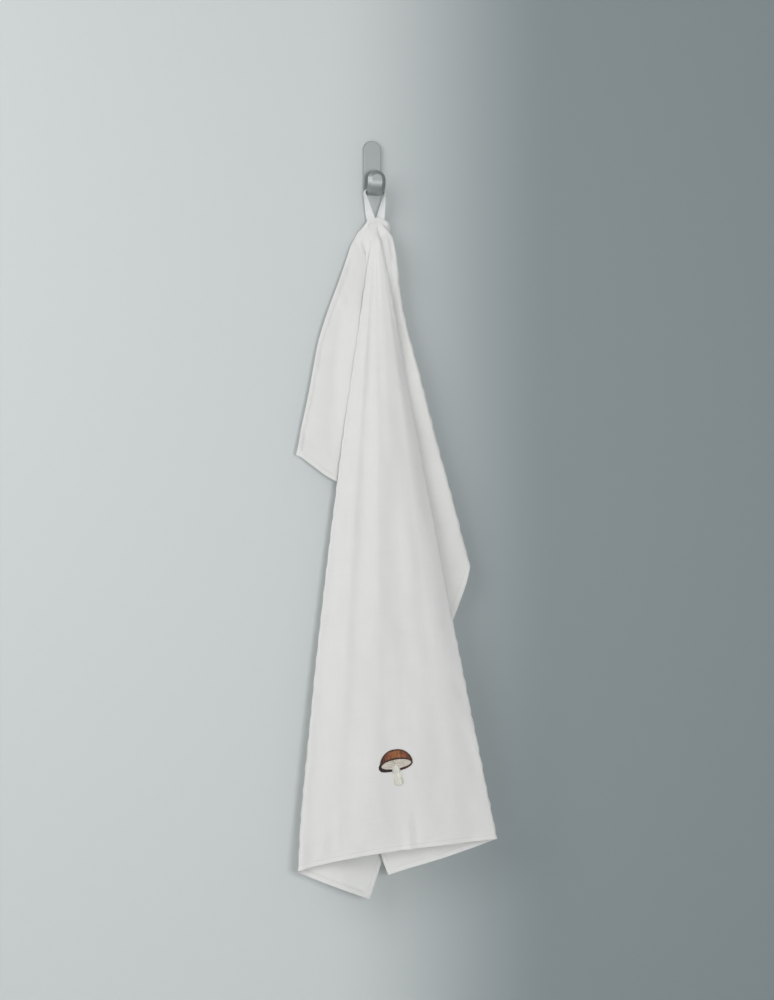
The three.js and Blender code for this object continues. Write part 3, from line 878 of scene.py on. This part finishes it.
# %% Outline of the mushroom
# the motif's own axes: across the cap, and down, in millimetres from the middle of the underside
MOTIF_PLACE = (-43.2, 605)
MOTIF_TILT = math.radians(2)
UNDERSIDE_HALVES = (21.4, 5.1)
CAP_HALF = 23.6
CAP_HEIGHT = 16.4
STEM_FOOT = 24
STEM_TOP_HALF, STEM_FOOT_HALF = 5.0, 6.6
STEM_START, STEM_LEAN = -1.2, 3.2
FLOSS = 0.62
FLOSS_SPACING = 0.56
CAP_POWERS = (2.3, 0.58)
MOTIF_SEED = 11
SCREEN_POWER = 2.2

# colours as a screen shows them, from 0 to 255
DARK_BROWN = (58, 46, 45)
MID_BROWN = (124, 80, 60)
RED_BROWN = (138, 78, 68)
LIGHT_BROWN = (170, 116, 70)
CREAM = (222, 214, 203)
GILL_GREY = (186, 178, 168)
STEM_PALE = (230, 229, 221)
STEM_SHADE = (214, 211, 198)

motif_random = np.random.default_rng(MOTIF_SEED)
stitch_list = []


def paint(*parts, spread=0.1):
    """A colour mixed from (share, colour) parts, with a little difference from stitch to stitch."""
    whole = sum(share for share, _ in parts)
    colour = sum(share * np.array(colour, float) for share, colour in parts) / whole
    return np.clip(colour * motif_random.uniform(1 - spread, 1 + spread) / 255, 0, 1) ** SCREEN_POWER


def stitch(start, end, layer, colour):
    """Adds one stitch between two places of the motif. A layer is its height over the cloth."""
    stitch_list.append((start, end, layer, colour))


def cap_top(p):
    """Height of the cap's outline at a place across it."""
    return -CAP_HEIGHT * max(1 - abs(p / CAP_HALF) ** CAP_POWERS[0], 0) ** CAP_POWERS[1]


def underside(turn, size=1.0):
    """A place on the ellipse of the underside, or on a smaller one inside it."""
    return size * UNDERSIDE_HALVES[0] * math.cos(turn), size * UNDERSIDE_HALVES[1] * math.sin(turn)


print("motif", 2 * CAP_HALF, "mm wide and", CAP_HEIGHT + STEM_FOOT, "mm tall")

# %% Underside of the mushroom
INNER_RING, MIDDLE_RING, OUTER_RING = (0.02, 0.2), (0.5, 0.7), 1.02
UNDERSIDE_RADIUS = 15
GILL_CHANCE = 0.3
STRONG_GILL, FAINT_GILL = 0.7, 0.08

for turn in np.arange(0, 2 * math.pi, FLOSS_SPACING / UNDERSIDE_RADIUS):
    inner_ring = underside(turn, motif_random.uniform(*INNER_RING))
    middle_ring = underside(turn, motif_random.uniform(*MIDDLE_RING))
    gill = STRONG_GILL if motif_random.random() < GILL_CHANCE else FAINT_GILL
    stitch(inner_ring, middle_ring, 0.0, paint((1 - gill, CREAM), (gill + 0.15, GILL_GREY)))
    stitch(middle_ring, underside(turn, OUTER_RING), 0.04, paint((1 - gill, CREAM), (gill, GILL_GREY)))
print("stitches of the underside", len(stitch_list))

# %% Cap of the mushroom
LIP = 0.12
LOW_ENDS, HIGH_ENDS = (0.4, 0.58), (0.76, 0.88)
ROW_OVERLAP = 0.06
CAP_SPREAD = 0.24

# place is -1 at the left end of the cap and 1 at its right end
for p in np.arange(-CAP_HALF + 0.2, CAP_HALF - 0.2, FLOSS_SPACING):
    place = p / CAP_HALF
    lit = bell((place - 0.02) / 0.36)
    red = bell((place + 0.42) / 0.2) + 0.5 * bell((place - 0.45) / 0.2)
    dark = smooth(-place, 0.35, 1.0) + 0.6 * smooth(place, 0.6, 1.0)
    reach_in = min(abs(p) / UNDERSIDE_HALVES[0], 1)
    base = np.array([p * 0.97, -UNDERSIDE_HALVES[1] * math.sqrt(1 - reach_in**2) + 0.3])
    top = np.array([p, cap_top(p)])
    low, high = motif_random.uniform(*LOW_ENDS), motif_random.uniform(*HIGH_ENDS)
    lip_parts = [(1, DARK_BROWN), (0.3, MID_BROWN)]
    low_parts = [(0.6, MID_BROWN), (dark, DARK_BROWN), (0.8 * red, RED_BROWN), (1.4 * lit, LIGHT_BROWN)]
    high_parts = [(0.8, MID_BROWN), (1.2 * dark, DARK_BROWN), (0.7 * red, RED_BROWN), (lit, LIGHT_BROWN)]
    top_parts = [(0.9, DARK_BROWN), (0.9, MID_BROWN), (dark, DARK_BROWN)]
    rows = [
        (0.0, LIP + 0.08, 0.12, lip_parts),
        (LIP, low + ROW_OVERLAP, 0.1, low_parts),
        (low, high + ROW_OVERLAP, 0.14, high_parts),
        (high, 1.0, 0.17, top_parts),
    ]
    for start, end, layer, parts in rows:
        stitch(mix(base, top, start), mix(base, top, end), layer, paint(*parts, spread=CAP_SPREAD))
print("stitches with the cap", len(stitch_list))

# %% Rim of the mushroom
RIM_START, RIM_END = -0.3, math.pi + 0.5
RIM_INSIDE = 0.3
RIM_RADIUS = 17

# from the right end of the underside, round below it to its left end, where the rim tapers off
for turn in np.arange(RIM_START, RIM_END, FLOSS_SPACING / RIM_RADIUS):
    thick = mix(1.7, 2.7, smooth(turn, 0.1, 1.3)) + 1.5 * smooth(turn, 1.9, 3.0)
    thick *= motif_random.uniform(0.9, 1.1) * mix(0.25, 1, smooth(turn, RIM_END, math.pi - 0.15))
    way = np.array([math.cos(turn) * UNDERSIDE_HALVES[1], math.sin(turn) * UNDERSIDE_HALVES[0]])
    way /= np.linalg.norm(way)
    start = np.array(underside(turn)) - RIM_INSIDE * way
    brown = 0.9 * max(math.cos(turn), 0)
    stitch(start, start + (thick + RIM_INSIDE) * way, 0.2, paint((1, DARK_BROWN), (brown, MID_BROWN)))
print("stitches with the rim", len(stitch_list))

# %% Stem of the mushroom
FIRST_BREAK, SECOND_BREAK = (8, 11), (15, 18)
STEM_OVERLAP = 0.4

# side is -1 at the left edge of the stem and 1 at its right edge, where the stitches are shortest
for side in np.arange(-1, 1.001, 2 * FLOSS_SPACING / (STEM_TOP_HALF + STEM_FOOT_HALF)):
    head = 1.6 + 1.4 * side**2
    foot = STEM_FOOT - 2.2 * side**2
    breaks = [head, motif_random.uniform(*FIRST_BREAK), motif_random.uniform(*SECOND_BREAK), foot]
    shade = 0.8 * smooth(abs(side), 0.3, 1.0)
    for k in range(3):
        ends = []
        for q in (breaks[k] - STEM_OVERLAP, breaks[k + 1]):
            share = q / STEM_FOOT
            half = mix(STEM_TOP_HALF, STEM_FOOT_HALF, share)
            ends.append((side * half + STEM_START + STEM_LEAN * share, q))
        stitch(ends[0], ends[1], 0.3 + 0.04 * k, paint((1 - shade, STEM_PALE), (shade, STEM_SHADE)))
print("stitches of the mushroom", len(stitch_list))

# %% Mushroom worked on the cloth
FLOSS_SHARES = np.array([0, 0.12, 0.4, 0.7, 0.92, 1])
FLOSS_LIFTS = np.array([-0.2, 0.16, 0.24, 0.24, 0.16, -0.2])

starts = np.array([row[0] for row in stitch_list])
ends = np.array([row[1] for row in stitch_list])
layers = np.array([row[2] for row in stitch_list])
motif = mix(starts[:, None], ends[:, None], FLOSS_SHARES[None, :, None])
motif_u = MOTIF_PLACE[0] + math.cos(MOTIF_TILT) * motif[..., 0] + math.sin(MOTIF_TILT) * motif[..., 1]
motif_v = MOTIF_PLACE[1] - math.sin(MOTIF_TILT) * motif[..., 0] + math.cos(MOTIF_TILT) * motif[..., 1]
motif_lift = CLOTH_HALF + layers[:, None] + FLOSS_LIFTS[None]
worked = on_cloth(motif_u.ravel(), motif_v.ravel(), motif_lift.ravel())
floss_places, floss_out = (values.reshape(*motif_u.shape, 3) for values in worked)
mushroom = stitch_tubes("mushroom_embroidery", floss_places, floss_out, FLOSS, "embroidery_floss")
floss_colour = np.repeat([row[3] for row in stitch_list], len(FLOSS_SHARES) * THREAD_SIDES, axis=0)
floss_colour = np.concatenate([floss_colour, np.ones((len(floss_colour), 1))], 1)
colour_layer = mushroom.data.color_attributes.new("floss_colour", "FLOAT_COLOR", "POINT")
colour_layer.data.foreach_set("color", floss_colour.astype(np.float32).ravel())
print("mushroom", len(mushroom.data.polygons), "faces")

# %% [markdown]
# ## Finishes
# The cloth and the tape are plain weave: threads that pass over and under each other, some thicker than
# their neighbours. One node group draws that weave from a map in metres, so that towel and tape share it
# at their own pitch, and paints shade into the low places between the threads. A second group twists a
# thread, paints shade into the grooves between its plies and serves the hem's cotton and the floss. A
# picture of cloth would show its repeats. Thin cotton also lets light pass between its threads, so the
# cloth's shader scatters a part of it inside.

# %% Helpers for shader nodes
FLOAT, COLOUR, VECTOR = "NodeSocketFloat", "NodeSocketColor", "NodeSocketVector"
# places of the colour sockets on a Mix node, which has a set for each kind of value
COLOUR_A, COLOUR_B, MIXED_COLOUR = 6, 7, 2


def node(tree, kind, inputs=None, **settings):
    """Adds a node, sets its options and its sockets, and joins sockets that are given as outputs."""
    made = tree.nodes.new(kind)
    for key, value in settings.items():
        setattr(made, key, value)
    for key, value in (inputs or {}).items():
        if isinstance(value, bpy.types.NodeSocket):
            tree.links.new(value, made.inputs[key])
        else:
            made.inputs[key].default_value = value
    return made


def maths(tree, operation, first, second=0.0, third=0.0):
    """The output of one Math node."""
    return node(tree, "ShaderNodeMath", {0: first, 1: second, 2: third}, operation=operation).outputs[0]


def new_group(name, inputs, outputs):
    """An empty node group with named sockets, and the sockets to read from and to fill."""
    group = bpy.data.node_groups.new(name, "ShaderNodeTree")
    for label, kind in inputs:
        group.interface.new_socket(label, in_out="INPUT", socket_type=kind)
    for label, kind in outputs:
        group.interface.new_socket(label, in_out="OUTPUT", socket_type=kind)
    return group, node(group, "NodeGroupInput").outputs, node(group, "NodeGroupOutput").inputs


def shaded(tree, colour, amount):
    """The colour darkened or lightened by a number about one."""
    return node(tree, "ShaderNodeVectorMath", {0: colour, "Scale": amount}, operation="SCALE").outputs[0]


def noise(tree, place, scale, detail, **settings):
    """A node of soft noise between 0 and 1."""
    inputs = {"Vector": place, "Scale": scale, "Detail": detail}
    return node(tree, "ShaderNodeTexNoise", inputs, **settings)


def mixed_colour(tree, share, first, second):
    """A colour that passes from the first to the second as the share goes from 0 to 1."""
    inputs = {"Factor": share, COLOUR_A: (*first, 1), COLOUR_B: (*second, 1)}
    return node(tree, "ShaderNodeMix", inputs, data_type="RGBA").outputs[MIXED_COLOUR]


print("node helpers ready")

# %% Woven threads
weave, given, wanted = new_group(
    "woven_threads",
    [("Map", VECTOR), ("Threads", FLOAT), ("Slub", FLOAT), ("Colour", COLOUR)],
    [("Colour", COLOUR), ("Height", FLOAT), ("Roughness", FLOAT)],
)
split_map = node(weave, "ShaderNodeSeparateXYZ", {0: given["Map"]}).outputs
warp = maths(weave, "MULTIPLY", split_map[0], given["Threads"])
weft = maths(weave, "MULTIPLY", split_map[1], given["Threads"])


def thread_height(tree, across, along):
    """Height of the threads of one direction: round, and over and under in turn."""
    number = maths(tree, "FLOOR", across)
    round_top = maths(tree, "ABSOLUTE", maths(tree, "SINE", maths(tree, "MULTIPLY", across, math.pi)))
    wave = maths(tree, "SINE", maths(tree, "MULTIPLY", maths(tree, "ADD", along, number), math.pi))
    return maths(tree, "MULTIPLY", round_top, maths(tree, "MULTIPLY_ADD", wave, 0.35, 0.65))


shifted_weft = maths(weave, "ADD", weft, 1.0)
warp_height = thread_height(weave, warp, weft)
weft_height = thread_height(weave, shifted_weft, warp)
weave_height = maths(weave, "MAXIMUM", warp_height, weft_height)


def slub(tree, place, across_scale, down_scale, seed):
    """Uneven thickness of single threads, as noise drawn out along them."""
    scales = {"Vector": place, "Scale": (across_scale, down_scale, 1)}
    stretched = node(tree, "ShaderNodeMapping", scales).outputs[0]
    made = noise(tree, stretched, 1.0, 1.0, noise_dimensions="4D")
    made.inputs["W"].default_value = seed
    return made.outputs[0]


warp_slub = slub(weave, given["Map"], 900, 22, 0.3)
weft_slub = slub(weave, given["Map"], 18, 800, 4.1)
slubs = maths(weave, "SUBTRACT", maths(weave, "ADD", warp_slub, weft_slub), 1.0)
slubs = maths(weave, "MULTIPLY", slubs, given["Slub"])
patches = noise(weave, given["Map"], 38.0, 3.0).outputs[0]
# painted shade: the colour is darker where the weave is low, between the threads; slubs and patches add
# random tone
shade_and_slub_tone = maths(weave, "MULTIPLY_ADD", weave_height, 0.1, 0.93)
shade_and_slub_tone = maths(weave, "ADD", shade_and_slub_tone, maths(weave, "MULTIPLY", slubs, 0.16))
shade_and_slub_tone = maths(weave, "ADD", shade_and_slub_tone, maths(weave, "MULTIPLY_ADD", patches, 0.05, -0.025))
weave.links.new(shaded(weave, given["Colour"], shade_and_slub_tone), wanted["Colour"])
weave.links.new(maths(weave, "ADD", weave_height, slubs), wanted["Height"])
weave.links.new(maths(weave, "MULTIPLY_ADD", patches, 0.1, 0.82), wanted["Roughness"])
print("group", weave.name, len(weave.nodes), "nodes")

# %% Twisted thread
twist, given, wanted = new_group(
    "twisted_thread",
    [("Map", VECTOR), ("Turns", FLOAT), ("Colour", COLOUR)],
    [("Colour", COLOUR), ("Height", FLOAT)],
)
split_map = node(twist, "ShaderNodeSeparateXYZ", {0: given["Map"]}).outputs
turned = maths(twist, "MULTIPLY_ADD", split_map[0], given["Turns"], split_map[1])
ply = maths(twist, "ABSOLUTE", maths(twist, "SINE", maths(twist, "MULTIPLY", turned, 2 * math.pi)))
# painted shade: the colour is darker in the grooves between the plies
ply_shade = maths(twist, "MULTIPLY_ADD", ply, 0.2, 0.84)
twist.links.new(shaded(twist, given["Colour"], ply_shade), wanted["Colour"])
twist.links.new(ply, wanted["Height"])
print("group", twist.name, len(twist.nodes), "nodes")


# %% Start of a material
def start_material(name, roughness):
    """The material's tree with only its output and one Principled shader."""
    material = materials[name]
    material.use_nodes = True
    tree = material.node_tree
    tree.nodes.clear()
    shader = node(tree, "ShaderNodeBsdfPrincipled", {"Roughness": roughness})
    node(tree, "ShaderNodeOutputMaterial", {"Surface": shader.outputs[0]})
    return tree, shader


def add_bump(tree, shader, height, strength, distance):
    """Lets a height that changes over the surface tilt the shader's normal."""
    made = node(tree, "ShaderNodeBump", {"Height": height, "Strength": strength, "Distance": distance})
    tree.links.new(made.outputs[0], shader.inputs["Normal"])


print("material helpers ready")

# %% Cloth, tape and thread finishes
LIGHT_SPREAD = 1.6 * MM
SPREAD_SHARE = 0.45
WEAVE_BUMP = 0.2 * MM
THREAD_BUMP = 0.1 * MM
TOWEL_WHITE = (0.8, 0.8, 0.785)
TAPE_WHITE = (0.765, 0.78, 0.775)
HEM_WHITE = (0.76, 0.755, 0.74)


def woven(name, colour, threads_per_metre, slub_amount, sheen):
    """Fills a material with woven cloth of one colour and thread count."""
    tree, shader = start_material(name, 0.85)
    cloth_map = node(tree, "ShaderNodeUVMap", uv_map="cloth").outputs[0]
    made = node(tree, "ShaderNodeGroup", node_tree=weave)
    for label, value in (("Threads", threads_per_metre), ("Slub", slub_amount), ("Colour", (*colour, 1))):
        made.inputs[label].default_value = value
    tree.links.new(cloth_map, made.inputs["Map"])
    tree.links.new(made.outputs["Colour"], shader.inputs["Base Color"])
    tree.links.new(made.outputs["Roughness"], shader.inputs["Roughness"])
    shader.inputs["Sheen Weight"].default_value = sheen
    shader.inputs["Sheen Roughness"].default_value = 0.5
    shader.inputs["Specular IOR Level"].default_value = 0.2
    shader.inputs["Subsurface Weight"].default_value = SPREAD_SHARE
    shader.inputs["Subsurface Radius"].default_value = (1, 1, 1)
    shader.inputs["Subsurface Scale"].default_value = LIGHT_SPREAD
    add_bump(tree, shader, made.outputs["Height"], 0.35, WEAVE_BUMP)


def thread_finish(name, colour, turns, sheen, roughness):
    """Fills a material with twisted thread, of one colour or of the colour stored with each stitch."""
    tree, shader = start_material(name, roughness)
    made = node(tree, "ShaderNodeGroup", node_tree=twist)
    made.inputs["Turns"].default_value = turns
    tree.links.new(node(tree, "ShaderNodeUVMap", uv_map="thread").outputs[0], made.inputs["Map"])
    if colour is None:
        stored = node(tree, "ShaderNodeVertexColor", layer_name="floss_colour")
        tree.links.new(stored.outputs[0], made.inputs["Colour"])
    else:
        made.inputs["Colour"].default_value = (*colour, 1)
    tree.links.new(made.outputs["Colour"], shader.inputs["Base Color"])
    shader.inputs["Sheen Weight"].default_value = sheen
    shader.inputs["Specular IOR Level"].default_value = 0.25
    add_bump(tree, shader, made.outputs["Height"], 0.4, THREAD_BUMP)


woven("towel_cloth", TOWEL_WHITE, 1700.0, 0.24, 0.06)
woven("loop_tape", TAPE_WHITE, 1400.0, 0.35, 0.08)
thread_finish("hem_thread", HEM_WHITE, 900.0, 0.05, 0.8)
thread_finish("embroidery_floss", None, 500.0, 0.1, 0.6)
print("cloth and thread finished")

# %% [markdown]
# ## Brushed metal
# The hook is matt grey metal, brushed along its length. Fine lines are noise drawn out along the strip.
# They are laid on a map of the flat strip, so that they bend with it, as they would on a strip that is
# brushed before it is bent.

# %% Hook finish
METAL_GREY = (0.41, 0.44, 0.44)
BRUSHED_SCALE = (5200, 90, 1)
METAL_BUMP = 0.05 * MM

tree, shader = start_material("hook_steel", 0.45)
strip_map = node(tree, "ShaderNodeUVMap", uv_map="strip").outputs[0]
lines_map = node(tree, "ShaderNodeMapping", {"Vector": strip_map, "Scale": BRUSHED_SCALE}).outputs[0]
lines = noise(tree, lines_map, 1.0, 2.0).outputs[0]
clouds = noise(tree, strip_map, 120.0, 3.0).outputs[0]
metal_tone = maths(tree, "MULTIPLY_ADD", lines, 0.16, 0.92)
metal_tone = maths(tree, "MULTIPLY", metal_tone, maths(tree, "MULTIPLY_ADD", clouds, 0.12, 0.94))
metal_colour = mixed_colour(tree, metal_tone, (0, 0, 0), METAL_GREY)
tree.links.new(metal_colour, shader.inputs["Base Color"])
tree.links.new(maths(tree, "MULTIPLY_ADD", lines, 0.16, 0.4), shader.inputs["Roughness"])
shader.inputs["Metallic"].default_value = 1.0
add_bump(tree, shader, lines, 0.12, METAL_BUMP)
print("hook finished")

# %% [markdown]
# ## Studio
# The towel needs something to hang in front of and light that shows its folds. A plain pale backdrop
# stands behind it and a plain pale floor lies below. Both grow darker to the right with painted shade, and
# the backdrop is seen only from the front. One large light could do it all, but would leave the folds flat.
# Here a soft light at the left gives every fold a bright and a dark flank, a small one in front draws the
# narrow shadow beside the cloth, and even light from all round softens both. A third light serves the back.

# %% Floor and backdrop
BACKDROP_PLACE = 0.6 * MM
BACKDROP_TOP = 3.0
FLOOR_HEIGHT = -1.25
STAGE_REACH = 6.0
# painted shade: backdrop and floor darken from their left colour to their right colour over this span
SHADE_GRADE_START, SHADE_GRADE_END = -0.06, 0.22
BACKDROP_LEFT, BACKDROP_PAINTED_SHADE = (0.63, 0.665, 0.665), (0.27, 0.315, 0.33)
FLOOR_LEFT, FLOOR_PAINTED_SHADE = (0.7, 0.7, 0.69), (0.6, 0.61, 0.61)


def stage_plane(name, corners, left_colour, painted_shade_colour, one_sided):
    """A plain surface whose colour passes softly from its left to a darker right: painted shade."""
    mesh = bpy.data.meshes.new(name)
    mesh.from_pydata(corners, [], [(0, 1, 2, 3)])
    plane = bpy.data.objects.new(name, mesh)
    bpy.context.scene.collection.objects.link(plane)
    materials[name] = bpy.data.materials.new(name)
    mesh.materials.append(materials[name])
    tree, shader = start_material(name, 0.9)
    place = node(tree, "ShaderNodeTexCoord").outputs["Object"]
    across = node(tree, "ShaderNodeSeparateXYZ", {0: place}).outputs[0]
    # painted shade: across this span the colour darkens towards the right
    span = {"Value": across, "From Min": SHADE_GRADE_START, "From Max": SHADE_GRADE_END}
    painted_shade_share = node(tree, "ShaderNodeMapRange", span, interpolation_type="SMOOTHSTEP").outputs[0]
    colour = mixed_colour(tree, painted_shade_share, left_colour, painted_shade_colour)
    speckle = maths(tree, "MULTIPLY_ADD", noise(tree, place, 900.0, 2.0).outputs[0], 0.04, 0.98)
    tree.links.new(shaded(tree, colour, speckle), shader.inputs["Base Color"])
    if one_sided:
        back = node(tree, "ShaderNodeNewGeometry").outputs["Backfacing"]
        clear = node(tree, "ShaderNodeBsdfTransparent").outputs[0]
        either = node(tree, "ShaderNodeMixShader", {0: back, 1: shader.outputs[0], 2: clear})
        output = [n for n in tree.nodes if n.type == "OUTPUT_MATERIAL"][0]
        tree.links.new(either.outputs[0], output.inputs["Surface"])
    return plane


far, low, high = STAGE_REACH, FLOOR_HEIGHT, BACKDROP_TOP
corner_signs = [(-1, 0), (1, 0), (1, 1), (-1, 1)]
backdrop_corners = [(side * far, BACKDROP_PLACE, high if up else low) for side, up in corner_signs]
floor_corners = [(side * far, far if back else -far, low) for side, back in corner_signs]
backdrop = stage_plane("backdrop", backdrop_corners, BACKDROP_LEFT, BACKDROP_PAINTED_SHADE, True)
backdrop.visible_shadow = False
floor = stage_plane("floor", floor_corners, FLOOR_LEFT, FLOOR_PAINTED_SHADE, False)
print("stage", backdrop.name, floor.name)


# %% Lights
# name, place, point it aims at, width, height, power in watts
LIGHTS = [
    ("key", (-1.25, -1.1, 0.2), (0.0, 0.0, -0.35), 1.1, 1.2, 10),
    ("front", (-0.1, -2.45, -0.4), (0.0, 0.0, -0.4), 0.4, 0.4, 16.5),
    ("rear", (0.6, 1.8, 0.4), (0.0, 0.0, -0.4), 1.6, 1.6, 6),
]
AMBIENT_COLOUR = (0.985, 0.995, 1.0)
AMBIENT_STRENGTH = 0.43


def soft_light(name, place, aim, width, height, power):
    """A rectangular light that is turned to the point it aims at."""
    lamp = bpy.data.lights.new(name, "AREA")
    lamp.shape = "RECTANGLE"
    lamp.size, lamp.size_y = width, height
    lamp.energy = power
    light = bpy.data.objects.new(name, lamp)
    bpy.context.scene.collection.objects.link(light)
    light.location = place
    light.rotation_euler = (Vector(aim) - Vector(place)).to_track_quat("-Z", "Y").to_euler()
    return light


lights = [soft_light(*row) for row in LIGHTS]
world = bpy.data.worlds.new("studio")
bpy.context.scene.world = world
world.use_nodes = True
background = world.node_tree.nodes["Background"]
background.inputs["Color"].default_value = (*AMBIENT_COLOUR, 1)
background.inputs["Strength"].default_value = AMBIENT_STRENGTH
bpy.context.scene.view_settings.view_transform = "Standard"
print("lights", [light.name for light in lights])
